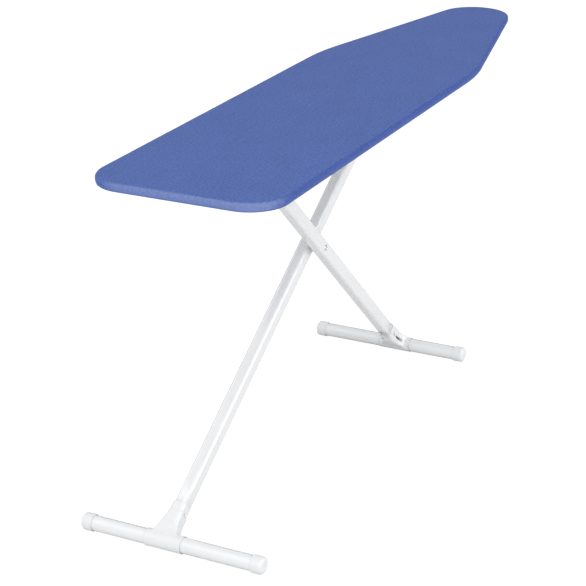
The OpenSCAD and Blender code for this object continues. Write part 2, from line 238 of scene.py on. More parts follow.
def cloth_paint():
    """Heathered cotton: a plain weave, with painted shade along the taut straight sides and a painted sheen on faces
    seen head-on. The UV map is the flat cloth in metres.
    """
    paint, tree, skin = new_paint("blue_cotton")
    flat = node(tree, "UVMap", uv_map="cloth").outputs["UV"]
    fleck = noise(tree, flat, 230, 3.0, 0.66)
    slub = noise(tree, stretch(tree, flat, (14, 210, 1)), 1.0, 2.0)
    pick = noise(tree, stretch(tree, flat, (240, 20, 1)), 1.0, 2.0)
    cloud = noise(tree, flat, 9, 3.0)
    blues = [(0.30, (0.040, 0.086, 0.310)), (0.5, (0.064, 0.120, 0.375)), (0.70, (0.092, 0.158, 0.445))]
    colour = ramp(tree, fleck, blues)
    for texture, depth in ((slub, 0.05), (pick, 0.04), (cloud, 0.035)):
        colour = times(tree, colour, ramp(tree, texture, [(0.3, grey(1 - depth)), (0.7, grey(1 + depth))]))
    warp, weft = [node(tree, "TexWave", {"Vector": flat, "Scale": 140.0, "Distortion": 0.6, "Detail": 1.0},
                       bands_direction=way).outputs["Fac"] for way in "XY"]
    threads = times(tree, warp, weft, "DIFFERENCE")
    colour = times(tree, colour, ramp(tree, threads, [(0.0, grey(0.94)), (1.0, grey(1.05))]))
    close = bump(tree, threads, 0.00018, 0.7)
    tree.links.new(bump(tree, fleck, 0.0003, 0.5, close), skin.inputs["Normal"])
    # Painted shade: a darker, more saturated blue in a band below the top edge of the straight sides, where the cloth
    # is pulled taut.
    painted_band = node(tree, "Attribute", attribute_name="painted_shade").outputs["Fac"]
    colour = times(tree, colour, ramp(tree, painted_band, [(0.0, grey(1.0)), (1.0, (0.60, 0.68, 0.84))]))
    # Painted sheen: faces seen head-on are mixed towards a pale blue-grey, which lightens the side that faces the
    # camera.
    facing = node(tree, "LayerWeight", {"Blend": 0.5}).outputs["Facing"]
    painted_sheen = node(tree, "MapRange", {"Value": facing, "From Min": 0.1, "From Max": 0.5, "To Min": 0.16, "To Max": 0.0})
    colour = node(tree, "MixRGB", {"Fac": painted_sheen.outputs["Result"], "Color1": colour,
                                   "Color2": (0.62, 0.68, 0.80, 1)}).outputs["Color"]
    tree.links.new(colour, skin.inputs["Base Color"])
    skin.inputs["Roughness"].default_value = 0.66
    skin.inputs["Specular IOR Level"].default_value = 0.28
    skin.inputs["Sheen Weight"].default_value = 0.04
    skin.inputs["Sheen Roughness"].default_value = 0.5
    skin.inputs["Sheen Tint"].default_value = (0.72, 0.80, 1.0, 1)
    return paint


STITCH_STEP, STITCH_LENGTH = 0.0036, 0.0024     # metres of cloth
SEAM_AT, SEAM_HALF = 0.0011, 0.00028


def casing_paint():
    """The sewn edge of the cover: the same cotton, drawn up by elastic, with a row of stitches."""
    paint, tree, skin = new_paint("casing_cotton")
    flat = node(tree, "UVMap", uv_map="cloth").outputs["UV"]
    parts = node(tree, "SeparateXYZ", {"Vector": flat}).outputs
    fleck = noise(tree, flat, 260, 3.0, 0.6)
    colour = ramp(tree, fleck, [(0.3, (0.058, 0.100, 0.262)), (0.7, (0.088, 0.140, 0.335))])
    dash = figure(tree, "LESS_THAN", figure(tree, "MODULO", parts["X"], STITCH_STEP), STITCH_LENGTH)
    off_seam = figure(tree, "ABSOLUTE", figure(tree, "SUBTRACT", parts["Y"], SEAM_AT))
    thread = figure(tree, "MULTIPLY", dash, figure(tree, "LESS_THAN", off_seam, SEAM_HALF))
    sewn = node(tree, "MixRGB", {"Fac": thread, "Color1": colour, "Color2": (0.16, 0.22, 0.46, 1)}).outputs["Color"]
    tree.links.new(sewn, skin.inputs["Base Color"])
    tree.links.new(bump(tree, thread, 0.0003, 1.0, bump(tree, fleck, 0.0005, 0.5)), skin.inputs["Normal"])
    skin.inputs["Roughness"].default_value = 0.95
    skin.inputs["Specular IOR Level"].default_value = 0.12
    skin.inputs["Sheen Weight"].default_value = 0.2
    return paint


def gloss_paint(name, low, high, rough, peel, cad=False, coat=0.25):
    """Baked enamel or moulded plastic: slight clouding, fine specks and an orange-peel skin."""
    paint, tree, skin = new_paint(name)
    where = node(tree, "TexCoord").outputs["Object"]
    cloud = noise(tree, where, 11, 4.0, 0.6)
    colour = ramp(tree, cloud, [(0.3, low), (0.7, high)])
    speck = noise(tree, where, 420, 2.0, 0.7)
    colour = times(tree, colour, ramp(tree, speck, [(0.22, grey(0.985)), (0.34, grey(1.0))]))
    tree.links.new(colour, skin.inputs["Base Color"])
    tree.links.new(spread(tree, noise(tree, where, 70, 3.0), rough[0], rough[1]), skin.inputs["Roughness"])
    round_edge = node(tree, "Bevel", {"Radius": 0.0007}, samples=6).outputs[0] if cad else None
    tree.links.new(bump(tree, noise(tree, where, peel, 2.0), 0.00025, 0.12, round_edge), skin.inputs["Normal"])
    skin.inputs["Coat Weight"].default_value = coat
    skin.inputs["Coat Roughness"].default_value = 0.08
    skin.inputs["Coat IOR"].default_value = 1.8
    return paint


def metal_paint(name, low, high, rough, cad=True):
    """Plated steel: a faint spangle, fine brushing and uneven shine."""
    paint, tree, skin = new_paint(name)
    where = node(tree, "TexCoord").outputs["Object"]
    grain = node(tree, "TexVoronoi", {"Vector": where, "Scale": 380.0}).outputs["Color"]
    shade = node(tree, "RGBToBW", {"Color": grain}).outputs[0]
    colour = ramp(tree, shade, [(0.2, low), (0.8, high)])
    tree.links.new(colour, skin.inputs["Base Color"])
    tree.links.new(spread(tree, noise(tree, where, 160, 3.0), rough[0], rough[1]), skin.inputs["Roughness"])
    round_edge = node(tree, "Bevel", {"Radius": 0.0005}, samples=6).outputs[0] if cad else None
    brushed = noise(tree, stretch(tree, where, (1500, 90, 1500)), 1.0, 2.0)
    tree.links.new(bump(tree, brushed, 0.0001, 0.25, round_edge), skin.inputs["Normal"])
    skin.inputs["Metallic"].default_value = 1.0
    return paint


def felt_paint():
    paint, tree, skin = new_paint("needled_felt")
    where = node(tree, "TexCoord").outputs["Object"]
    fibre = noise(tree, where, 900, 5.0, 0.75)
    tuft = noise(tree, where, 120, 3.0)
    colour = times(tree, ramp(tree, fibre, [(0.3, (0.60, 0.59, 0.54)), (0.7, (0.80, 0.79, 0.75))]),
                   ramp(tree, tuft, [(0.3, grey(0.93)), (0.7, grey(1.03))]))
    tree.links.new(colour, skin.inputs["Base Color"])
    tree.links.new(bump(tree, fibre, 0.0008, 0.8), skin.inputs["Normal"])
    skin.inputs["Roughness"].default_value = 1.0
    skin.inputs["Specular IOR Level"].default_value = 0.05
    skin.inputs["Sheen Weight"].default_value = 0.4
    return paint


PANEL_WHITE = ((0.80, 0.805, 0.815), (0.86, 0.863, 0.87), (0.30, 0.45), 700)

cotton = cloth_paint()
casing = casing_paint()
felt = felt_paint()
enamel = gloss_paint("white_enamel", (0.775, 0.78, 0.785), (0.80, 0.803, 0.806), (0.12, 0.2), 900, coat=1.0)
panel_enamel = gloss_paint("panel_enamel", *PANEL_WHITE, cad=True)
panel_enamel_fine = gloss_paint("panel_enamel_sheet", *PANEL_WHITE)
plastic = gloss_paint("white_plastic", (0.745, 0.748, 0.752), (0.775, 0.778, 0.78), (0.26, 0.36), 1500, coat=0.15)
nylon = gloss_paint("natural_nylon", (0.76, 0.75, 0.71), (0.83, 0.82, 0.79), (0.42, 0.55), 1200, cad=True, coat=0.0)
zinc = metal_paint("zinc_plate", (0.58, 0.59, 0.61), (0.74, 0.75, 0.77), (0.28, 0.46))
rivet_steel = metal_paint("rivet_steel", (0.66, 0.67, 0.69), (0.80, 0.81, 0.83), (0.10, 0.2), cad=False)
wire_steel = metal_paint("spring_wire", (0.36, 0.36, 0.38), (0.48, 0.48, 0.50), (0.22, 0.34), cad=False)


# ---------------------------------------------------------------- mesh helpers, all in millimetres

MM = 0.001


def size_of(name):
    low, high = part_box(name)
    return np.array(low) / MM, np.array(high) / MM


def middle(name):
    low, high = size_of(name)
    return (low + high) / 2


def make_piece(name, points, faces, paint, body, nodes, flat=None, sharp=None, place=None, painted_shade=None):
    """A mesh from points in millimetres, riding on a CAD body in place of the named nodes."""
    points = np.asarray(points, float)
    if place is not None:
        points = points @ np.array(place.to_3x3()).T + np.array(place.translation)
    mesh = bpy.data.meshes.new(name)
    mesh.from_pydata([tuple(p) for p in points * MM], [], [tuple(int(i) for i in f) for f in faces])
    if flat is not None:
        layer = mesh.uv_layers.new(name="cloth")
        index = np.zeros(len(mesh.loops), np.int32)
        mesh.loops.foreach_get("vertex_index", index)
        layer.data.foreach_set("uv", (np.asarray(flat, float) * MM)[index].astype(np.float32).ravel())
    mesh.polygons.foreach_set("use_smooth", np.ones(len(mesh.polygons), bool))
    # The cover's painted shade band, stored as a point attribute for its material.
    if painted_shade is not None:
        mesh.attributes.new("painted_shade", "FLOAT", "POINT").data.foreach_set("value", np.asarray(painted_shade, np.float32))
    if sharp:
        mesh.set_sharp_from_angle(angle=math.radians(sharp))
    mesh.materials.append(paint)
    mesh.update()
    obj = bpy.data.objects.new(name, mesh)
    bpy.context.scene.collection.objects.link(obj)
    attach(obj, body)
    if nodes:
        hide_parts(*nodes)
    return obj


def skin_rings(rings, start_cap=False, end_cap=False, close=False):
    """Faces that join equal rings of points one after the other."""
    count = len(rings[0])
    faces = []
    for i in range(len(rings) - (0 if close else 1)):
        a, b = i * count, (i + 1) % len(rings) * count
        for j in range(count):
            k = (j + 1) % count
            faces.append((a + j, a + k, b + k, b + j))
    if start_cap:
        faces.append(tuple(range(count - 1, -1, -1)))
    if end_cap:
        last = (len(rings) - 1) * count
        faces.append(tuple(range(last, last + count)))
    return np.concatenate(rings), faces


def join_parts(parts):
    """One set of points and faces from several."""
    points, faces = [], []
    for part_points, part_faces in parts:
        shift = len(points)
        points += list(part_points)
        faces += [tuple(v + shift for v in face) for face in part_faces]
    return np.array(points), faces


def lathe_y(profile, centre, segments=72):
    """A surface of revolution about a line along Y. The profile is (radius, y)."""
    turn = np.linspace(0, 2 * math.pi, segments, endpoint=False)
    rings = []
    for radius, y in profile:
        rings.append(np.stack([centre[0] + radius * np.cos(turn), np.full(segments, centre[1] + y),
                               centre[2] - radius * np.sin(turn)], 1))
    return skin_rings(rings, start_cap=True, end_cap=True)


def weld(obj, distance):
    """Merges points that touch, and turns every face outwards."""
    shape = bmesh.new()
    shape.from_mesh(obj.data)
    bmesh.ops.remove_doubles(shape, verts=shape.verts, dist=distance)
    bmesh.ops.recalc_face_normals(shape, faces=shape.faces)
    shape.to_mesh(obj.data)
    shape.free()


def grid_crossings(value, cells):
    """For each grid cell the sum and count of its edge crossings, and for each axis the crossed grid edges."""
    inside = value < 0
    total, hits = np.zeros(cells + [3]), np.zeros(cells)
    crossings = []
    for axis in range(3):
        near = [slice(None)] * 3
        far = [slice(None)] * 3
        near[axis], far[axis] = slice(0, -1), slice(1, None)
        a, b = value[tuple(near)], value[tuple(far)]
        cut = inside[tuple(near)] != inside[tuple(far)]
        share = np.where(cut, a / np.where(cut, a - b, 1), 0)
        crossings.append((cut, inside[tuple(near)]))
        first, second = [k for k in range(3) if k != axis]
        for d0 in (0, 1):
            for d1 in (0, 1):
                pick = [slice(None)] * 3
                pick[first] = slice(d0, d0 + cells[first])
                pick[second] = slice(d1, d1 + cells[second])
                here = cut[tuple(pick)]
                hits += here
                total[..., axis] += np.where(here, share[tuple(pick)], 0)
                total[..., first] += np.where(here, d0, 0)
                total[..., second] += np.where(here, d1, 0)
    return total, hits, crossings


def crossing_quads(axis, cut, leaving, number, cells):
    """One quad round each crossed grid edge along that axis."""
    first, second = (axis + 1) % 3, (axis + 2) % 3
    at = np.stack(np.nonzero(cut), 1)
    at = at[(at[:, first] > 0) & (at[:, first] < cells[first]) & (at[:, second] > 0) & (at[:, second] < cells[second])]
    corners = []
    for d0, d1 in ((-1, -1), (0, -1), (0, 0), (-1, 0)):
        cell = at.copy()
        cell[:, first] += d0
        cell[:, second] += d1
        corners.append(number[tuple(cell.T)])
    quads = np.stack(corners, 1)
    flip = ~leaving[tuple(at.T)]
    quads[flip] = quads[flip][:, ::-1]
    return quads


def surface_net(field, low, high, step):
    """A closed quad mesh of the surface where field(x, y, z) is zero. The inside is negative."""
    axes = [np.arange(low[i], high[i] + step, step) for i in range(3)]
    cells = [len(a) - 1 for a in axes]
    total, hits, crossings = grid_crossings(field(*np.meshgrid(*axes, indexing="ij")), cells)
    used = hits > 0
    number = np.full(cells, -1)
    number[used] = np.arange(used.sum())
    base = np.stack(np.nonzero(used), 1)
    points = (base + total[used] / hits[used][:, None]) * step + np.array(low)
    faces = [crossing_quads(axis, *crossings[axis], number, cells) for axis in range(3)]
    return points, np.concatenate(faces)


def ripple(along, length, seed, waves, count):
    """Smooth noise of about unit size round a closed line of that length, from waves in [low, high] per metre."""
    random = np.random.default_rng(seed)
    turns = np.round(random.uniform(waves[0], waves[1], count) * length * MM)
    phases = random.uniform(0, 2 * math.pi, count)
    return sum(np.sin(2 * math.pi * t * along / length + p) for t, p in zip(turns, phases)) / math.sqrt(count / 2)


# ---------------------------------------------------------------- board outline

cover_low, cover_high = size_of("cover")
NOSE_X, TAIL_X = cover_high[0], cover_low[0]
HALF_W, TOP_Z, LOW_Z = cover_high[1], cover_high[2], cover_low[2]
TAIL_R = 66.0
TAPER_X = 220.0
TAPER = math.radians(12.4)
BLEND_R = 500.0
BLEND_X = TAPER_X - BLEND_R * math.tan(TAPER / 2)
NOSE_R = (BLEND_X * math.sin(TAPER) + (HALF_W - BLEND_R) * math.cos(TAPER) + BLEND_R
          - NOSE_X * math.sin(TAPER)) / (1 - math.sin(TAPER))
HALF_COUNT = 420


def left_outline():
    """Points and outward normals from the nose tip round the +Y side to the middle of the tail."""
    quarter = math.pi / 2
    arcs = [((NOSE_X - NOSE_R, 0), NOSE_R, 0, quarter - TAPER),
            ((BLEND_X, HALF_W - BLEND_R), BLEND_R, quarter - TAPER, quarter),
            ((TAIL_X + TAIL_R, HALF_W - TAIL_R), TAIL_R, quarter, 2 * quarter)]
    rows = []
    for centre, radius, start, end in arcs:
        for turn in np.linspace(start, end, 160):
            c, s = math.cos(turn), math.sin(turn)
            rows.append((centre[0] + radius * c, centre[1] + radius * s, c, s))
    rows.append((TAIL_X, 0, -1, 0))
    rows = np.array(rows)
    gone = np.concatenate([[0], np.cumsum(np.hypot(*np.diff(rows[:, :2], axis=0).T))])
    at = np.linspace(0, gone[-1], HALF_COUNT + 1)
    out = np.stack([np.interp(at, gone, rows[:, i]) for i in range(4)], 1)
    out[:, 2:] /= np.linalg.norm(out[:, 2:], axis=1)[:, None]
    return out


def full_outline():
    left = left_outline()
    right = left[-2:0:-1] * np.array([1, -1, 1, -1])
    return np.concatenate([left, right])


EDGE = full_outline()
EDGE_AT = np.concatenate([[0], np.cumsum(np.hypot(*np.diff(EDGE[:, :2], axis=0).T))])
EDGE_LENGTH = EDGE_AT[-1] + np.hypot(*(EDGE[0, :2] - EDGE[-1, :2]))


def edge_ring(inset, z):
    """The outline moved inward. Both inset and z may be arrays, one value for each point."""
    xy = EDGE[:, :2] - EDGE[:, 2:] * np.broadcast_to(inset, len(EDGE))[:, None]
    return np.column_stack([xy, np.broadcast_to(z, len(EDGE))])


def loft_top(rings, flats, spine=(150, 95), shares=(0.04, 0.1, 0.18, 0.28, 0.4, 0.52, 0.64, 0.76, 0.88, 1.0)):
    """Rings from the rim inwards, then the flat top down to a spine along the middle of the board."""
    edge = rings[-1]
    heart_x = np.clip(edge[:, 0], TAIL_X + spine[0], NOSE_X - spine[1])
    heart = np.column_stack([heart_x, np.zeros(len(edge)), edge[:, 2]])
    for share in shares:
        ring = edge * (1 - share) + heart * share
        rings.append(ring)
        flats.append(ring[:, :2])
    points, faces = skin_rings(rings)
    count = len(edge)
    last = (len(rings) - 1) * count
    target = np.arange(len(points))
    seen = {}
    for i in range(last, last + count):
        target[i] = seen.setdefault(round(float(points[i, 0]), 3), i)
    joined = []
    for face in faces:
        loop = [int(target[i]) for i in face]
        loop = [v for n, v in enumerate(loop) if v != loop[n - 1]]
        if len(loop) > 2:
            joined.append(loop)
    kept = np.unique([v for f in joined for v in f])
    renumber = np.full(len(points), -1)
    renumber[kept] = np.arange(len(kept))
    return points[kept], [[int(renumber[v]) for v in f] for f in joined], np.concatenate(flats)[kept]


def corner_share():
    """1 in the middle of each tail corner and at the nose, 0 on the straight sides."""
    x, y = EDGE[:, 0], np.abs(EDGE[:, 1])
    turning = (np.abs(EDGE[:, 2]) > 0.25) & (np.abs(EDGE[:, 3]) > 0.08)
    share = np.where(turning, 1.0, 0.0)
    width = 15
    kernel = np.hanning(2 * width + 1)
    wrapped = np.concatenate([share[-width:], share, share[:width]])
    return np.convolve(wrapped, kernel / kernel.sum(), "valid")


CORNER = corner_share()


# ---------------------------------------------------------------- cover, hem and pad

CLOTH_THICK = 1.2
COVER_GAP = 0.35        # how far the cloth stays inside the CAD cover
HEM_INSET, HEM_UP = 27.3, 0.9
HEM_SIDES = 14


def cover_profile():
    """The cover's section from its mouth to the flat top. Each row is inset, height and share of the puckers."""
    under_and_side = ((23.5, 0.6, 1.2), (18, 0.1, 1.0), (12, 0, 0.6), (7, 0, 0.3), (3.6, 0.15, 0.15), (1.7, 0.75, 0.15),
                      (0.6, 1.9, 0.35), (0.1, 3.6, 0.7), (0.0, 6.0, 0.9), (0.0, 9.0, 0.9))
    edge_and_top = ((0.35, 4.6, 0.7), (1.3, 2.8, 0.45), (2.9, 1.4, 0.25), (5.0, 0.6, 0.15), (7.8, 0.2, 0.1),
                    (12, 0.03, 0.05), (17, 0, 0.0), (24, 0, 0.0), (33, 0, 0.0))
    return ([(inset, LOW_Z + up, share) for inset, up, share in under_and_side]
            + [(inset, TOP_Z - down, share) for inset, down, share in edge_and_top])


def cover_rings(profile):
    fine = ripple(EDGE_AT, EDGE_LENGTH, 5, (28, 70), 14)
    slow = ripple(EDGE_AT, EDGE_LENGTH, 8, (4, 14), 9)
    pucker = (0.12 + 0.34 * CORNER) * fine + 0.16 * slow
    rings = []
    for inset, z, share in profile:
        if z < LOW_Z + 1:
            rings.append(edge_ring(inset + COVER_GAP, z + 0.5 * np.abs(share * pucker)))
        else:
            rings.append(edge_ring(inset + COVER_GAP + np.clip(-share * pucker, -0.3, 2), z))
    return rings


def flat_rings(profile):
    """Where each ring of the cover lies in the flat cloth, measured along the section from the innermost ring."""
    gone = [0.0]
    for a, b in zip(reversed(profile[:-1]), reversed(profile[1:])):
        gone.append(gone[-1] + math.hypot(a[0] - b[0], a[1] - b[1]))
    return [EDGE[:, :2] - EDGE[:, 2:] * (profile[-1][0] - g) for g in reversed(gone)]


def painted_side_shade(points, rows):
    """How far each point lies in the band of painted shade below the top edge along the straight sides."""
    band = np.interp(TOP_Z - points[:, 2], (0.5, 1.8, 9.0, 12.5), (0, 1, 1, 0))
    straight = np.tile((1 - CORNER) * (np.abs(EDGE[:, 3]) > 0.7), rows)
    painted_shade = np.zeros(len(points))
    painted_shade[:len(straight)] = band[:len(straight)] * straight
    return painted_shade


def make_cover():
    """The cotton cover: turned in under the rim, up the side, over a soft padded edge, and flat across the top."""
    profile = cover_profile()
    points, faces, flat = loft_top(cover_rings(profile), flat_rings(profile))
    # Painted shade along the straight sides, read by the cloth's material.
    painted_shade = painted_side_shade(points, len(profile))
    x, y, z = points.T
    soft = 0.16 * np.sin(x / 47 + 1.3 * np.sin(y / 61)) * np.sin(y / 39 + 0.7) + 0.12 * np.sin(x / 23 - y / 31 + 2)
    points[:, 2] -= np.where(z > TOP_Z - 0.5, 0.3 + soft, 0)
    obj = make_piece("cover_cloth", points, faces, cotton, "board", ["cover"], flat, painted_shade=painted_shade)
    thick = obj.modifiers.new("thick", "SOLIDIFY")
    thick.thickness = CLOTH_THICK * MM
    thick.offset = -1
    return obj


def make_hem():
    """The elastic casing round the mouth of the cover, drawn up into small gathers."""
    gather = ripple(EDGE_AT, EDGE_LENGTH, 3, (60, 110), 10)
    wander = ripple(EDGE_AT, EDGE_LENGTH, 4, (6, 20), 6)
    rings, flats = [], []
    for i in range(HEM_SIDES):
        turn = 2 * math.pi * i / HEM_SIDES
        c, s = math.cos(turn), math.sin(turn)
        inset = HEM_INSET + 0.7 * wander + (4.0 + 0.35 * gather) * c
        rings.append(edge_ring(inset, LOW_Z + HEM_UP + 0.35 * gather * c + (1.25 + 0.28 * gather) * s))
        across = 12.0 * (1 + c) / 2 if s < 0.1 else 9.0
        flats.append(np.column_stack([EDGE_AT, np.full(len(EDGE), across)]))
    points, faces = skin_rings(rings, close=True)
    flat = np.concatenate(flats)
    return make_piece("cover_casing", points, faces, casing, "board", ["cover_hem"], flat)


def make_pad():
    """The felt pad: a soft slab with a rounded upper edge."""
    low, high = size_of("felt_pad")
    base, top = low[2], high[2]
    profile = [(3.4, base + 0.1), (3.0, base + 0.8), (4.2, base + 2.3), (7.2, base + 3.7),
               (12, top - 0.35), (20, top - 0.15)]
    lumps = 0.25 * ripple(EDGE_AT, EDGE_LENGTH, 12, (8, 30), 8)
    rings = [edge_ring(inset + lumps, z) for inset, z in profile]
    points, faces, _ = loft_top(rings, [r[:, :2] for r in rings], shares=(0.1, 0.25, 0.5, 0.75, 1.0))
    rim = edge_ring(profile[0][0] + lumps, profile[0][1])
    under, under_faces, _ = loft_top([rim], [EDGE[:, :2]], shares=(0.1, 0.5, 1.0))
    points, faces = join_parts([(points, faces), (under, [face[::-1] for face in under_faces])])
    obj = make_piece("felt_pad_soft", points, faces, felt, "board", ["felt_pad"])
    weld(obj, 1e-6)
    return obj


cover = make_cover()
hem = make_hem()
pad = make_pad()


# ---------------------------------------------------------------- legs

LEG_H, LEG_W, LEG_R = 28.0, 22.5, 6.0
LEG_WALL = 1.2
LEG_TOP = -18.0         # the tube starts this far above its pivot
LEG_INTO_JOINT = 47.0   # and stops this far short of the foot's axis, inside the collar
FOOT_R = 13.5
CAP_ROUND = 5.8
SLEEVE_HALF = 35.0
COLLAR_HALF_W, COLLAR_HALF_H, COLLAR_R = 12.6, 15.3, 7.2
COLLAR_FROM, COLLAR_TO = -70.0, -30.0
FLARE_FROM, FLARE_TO = -51.5, 1.5
JOINT_STEP = 0.68
# What differs between the joints: sleeve radius, how far the collar leans to the top face, the bead at each end
# of the sleeve, and how much and how late the flare widens to the right.
JOINT_STYLES = {"rear": (14.9, -0.8, 0.35, 8.8, 2.0), "front": (14.5, 1.0, 0.1, 16.5, 2.4)}
RIVET_SECTION = (       # radius, height below the face of the leg
    (0.5, 4.6), (2.0, 4.4), (2.6, 3.0), (2.8, -0.6), (3.1, -1.4), (3.6, -1.75), (4.3, -1.6), (5.0, -1.1), (5.4, -0.3),
    (5.45, 0.5), (4.0, 0.6))
SCREW_SECTION = ((0.5, 13.9), (1.5, 13.9), (1.6, 15.3), (2.0, 15.3), (2.2, 14.9), (2.2, 12.0))
SCREW_BACK, SCREW_LEFT = 56.0, 9.0


def leg_frame(pivot, foot):
    """A frame with X down the leg, Y across the board and the pivot at its origin, and the leg's length."""
    pivot, foot = Vector(pivot), Vector(foot)
    along = (foot - pivot).normalized()
    across = Vector((0, 1, 0))
    place = Matrix((along, across, along.cross(across))).transposed().to_4x4()
    place.translation = pivot
    return place, (foot - pivot).length


def section_ring(height, width, radius, x, steps=8, lead=0.7):
    """Points round a rounded rectangle at that x, with one more beside each corner to keep the flats flat."""
    ring = []
    quarter = math.pi / 2
    for quadrant in range(4):
        sy = 1 if quadrant in (0, 1) else -1
        sz = 1 if quadrant in (0, 3) else -1
        cy, cz = sy * (width / 2 - radius), sz * (height / 2 - radius)
        start = quadrant * quarter
        turns = [start + quarter * i / steps for i in range(steps + 1)]
        arc = [(cy + radius * math.sin(t), cz + radius * math.cos(t)) for t in turns]
        (first_y, first_z), (last_y, last_z) = arc[0], arc[-1]
        end = start + quarter
        before = (first_y - lead * math.cos(start), first_z + lead * math.sin(start))
        after = (last_y + lead * math.cos(end), last_z - lead * math.sin(end))
        ring += [before] + arc + [after]
    return np.array([(x, y, z) for y, z in ring])


def leg_section(cut, round_cut, x):
    """The leg's section at that x, made smaller by cut all over and by round_cut at the corners."""
    return section_ring(LEG_H - cut, LEG_W - cut, LEG_R - round_cut, x)


def make_leg(name, node_name, place, length, cross, body):
    """A rounded rectangular tube, open at both ends, with a slight dish where the rivet pulls it in."""
    end = length - LEG_INTO_JOINT
    near_rivet = [cross + d for d in (-16, -11, -7, -3, 0, 3, 7, 11, 16)]
    outer_x = sorted([LEG_TOP + 0.6, end] + list(np.linspace(0, end - 60, 26)) + near_rivet)
    rings = [leg_section(0.5, 0.25, LEG_TOP)]
    rings += [leg_section(0, 0, x) for x in outer_x]
    rings += [leg_section(2 * LEG_WALL, LEG_WALL, x) for x in (end, LEG_TOP)]
    points, faces = skin_rings(rings, close=True)
    faces = [face[::-1] for face in faces]
    off = np.hypot(points[:, 0] - cross, points[:, 2])
    dish = 0.35 * np.exp(-(off / 8) ** 2) * (np.abs(points[:, 1]) > 9)
    points[:, 1] -= np.sign(points[:, 1]) * dish
    return make_piece(name, points, faces, enamel, body, [node_name], place=place)


def make_top_plug(name, node_name, place, body):
    """The moulded plug that closes the upper end of a leg."""
    sections = ((2.5, 1.3, 12), (2.5, 1.3, -17.9), (0.6, 0.3, -18.0), (0, 0, -18.4), (0, 0, -19.6), (1.2, 0.6, -20.6),
                (4, 2, -21.4), (9, 3.4, -21.9))
    points, faces = skin_rings([leg_section(*row) for row in sections], start_cap=True, end_cap=True)
    return make_piece(name, points, faces, plastic, body, [node_name], sharp=50, place=place)


def make_foot_tube(name, node_name, body):
    """A straight round tube with softened ends."""
    low, high = size_of(node_name)
    centre, half = (low + high) / 2, (high[1] - low[1]) / 2
    end = [(FOOT_R - 1.2, half), (FOOT_R - 0.3, half), (FOOT_R, half - 0.4)]
    profile = [(r, -y) for r, y in end] + [(FOOT_R, y) for y in np.linspace(-half + 2, half - 2, 24)] + end[::-1]
    points, faces = lathe_y(profile, centre)
    return make_piece(name, points, faces, enamel, body, [node_name], sharp=40)


def make_cap(name, node_name, body, side):
    """A moulded end cap with a domed end, a rolled mouth and a worn flat where it stands on the floor."""
    low, high = size_of(node_name)
    radius = (high[0] - low[0]) / 2
    axis_x, axis_z = (low[0] + high[0]) / 2, high[2] - radius
    tip = high[1] if side > 0 else low[1]
    depth = high[1] - low[1]
    profile = [(1.3, 0.55), (1.7, 0.12), (4, 0.02), (7.5, 0.0), (9.4, 0.12)]
    for turn in [math.pi / 2 * i / 9 for i in range(1, 10)]:
        profile.append((radius - CAP_ROUND + CAP_ROUND * math.sin(turn), CAP_ROUND + 0.1 - CAP_ROUND * math.cos(turn)))
    profile += [(radius, 8.5), (radius - 0.02, depth - 2.6), (radius + 0.05, depth - 1.4),
                (radius - 0.12, depth - 0.5), (radius - 0.5, depth), (FOOT_R + 0.55, depth),
                (FOOT_R + 0.45, depth - 0.5), (FOOT_R + 0.4, depth - 3.5)]
    points, faces = lathe_y([(r, -side * y) for r, y in profile], (axis_x, tip, axis_z))
    if side > 0:
        faces = [face[::-1] for face in faces]
    points[:, 2] = np.maximum(points[:, 2], 0.0)
    return make_piece(name, points, faces, plastic, body, [node_name], sharp=50)


def box_section(y, z, half_y, half_z, radius):
    """Signed distance from a rounded rectangle across the leg."""
    qy, qz = np.abs(y) - (half_y - radius), np.abs(z) - (half_z - radius)
    return np.hypot(np.maximum(qy, 0), np.maximum(qz, 0)) + np.minimum(np.maximum(qy, qz), 0) - radius


def rounded_both(a, b, radius):
    """The overlap of two signed distances, with their shared edge rounded."""
    inner = np.minimum(np.maximum(a, b), -radius)
    return inner + np.hypot(np.maximum(a + radius, 0), np.maximum(b + radius, 0))


def smooth_union(a, b, size):
    share = np.maximum(size - np.abs(a - b), 0) / size
    return np.minimum(a, b) - share * share * size / 4


def slab(value, low, high):
    """Signed distance from the space between two planes."""
    return np.abs(value - (low + high) / 2) - (high - low) / 2


def joint_body(u, y, z, style):
    """A moulded T joint as one signed distance. u runs down the leg and is 0 at the foot's axis."""
    sleeve_r, lean, bead, right_grows, right_power = style
    collar = box_section(y - 0.5, z - lean, COLLAR_HALF_W, COLLAR_HALF_H, COLLAR_R)
    collar = rounded_both(collar, slab(u, COLLAR_FROM, COLLAR_TO), 0.7)
    share = np.clip((u + 50) / 42, 0, 1)
    left = 12.6 + 14.4 * share ** 1.2
    right = 11.8 + right_grows * share ** right_power
    half_thick = 15.2 - 2.2 * share * share * (3 - 2 * share)
    flare = box_section(y - (left - right) / 2, z - 0.6 * lean, (left + right) / 2, half_thick, 4.0)
    flare = rounded_both(flare, slab(u, FLARE_FROM, FLARE_TO), 2.0)
    ends = bead * np.clip((np.abs(y) - 28.5) / 0.8, 0, 1)
    sleeve = rounded_both(np.hypot(u, z) - sleeve_r - ends, np.abs(y) - SLEEVE_HALF, 0.8)
    shape = smooth_union(smooth_union(collar, flare, 4.0), sleeve, 3.4)
    bore = np.maximum(np.hypot(u, z) - FOOT_R - 0.5, 31 - np.abs(y))
    return np.maximum(shape, -bore)


def joint_slit(u, y, z):
    """The slit in the right side of the front joint, and the hollow behind it."""
    opening = np.clip((u + 42) / 20, 0, 1)
    gap = np.maximum(np.abs(z + 0.8) - 1.9 - 1.1 * opening, slab(u, -43.5, -18.5))
    hollow = np.maximum(box_section(y, z, 9.5, 9.5, 3.0), slab(u, -46, -18))
    return np.minimum(np.maximum(gap, y + 4.0), hollow)


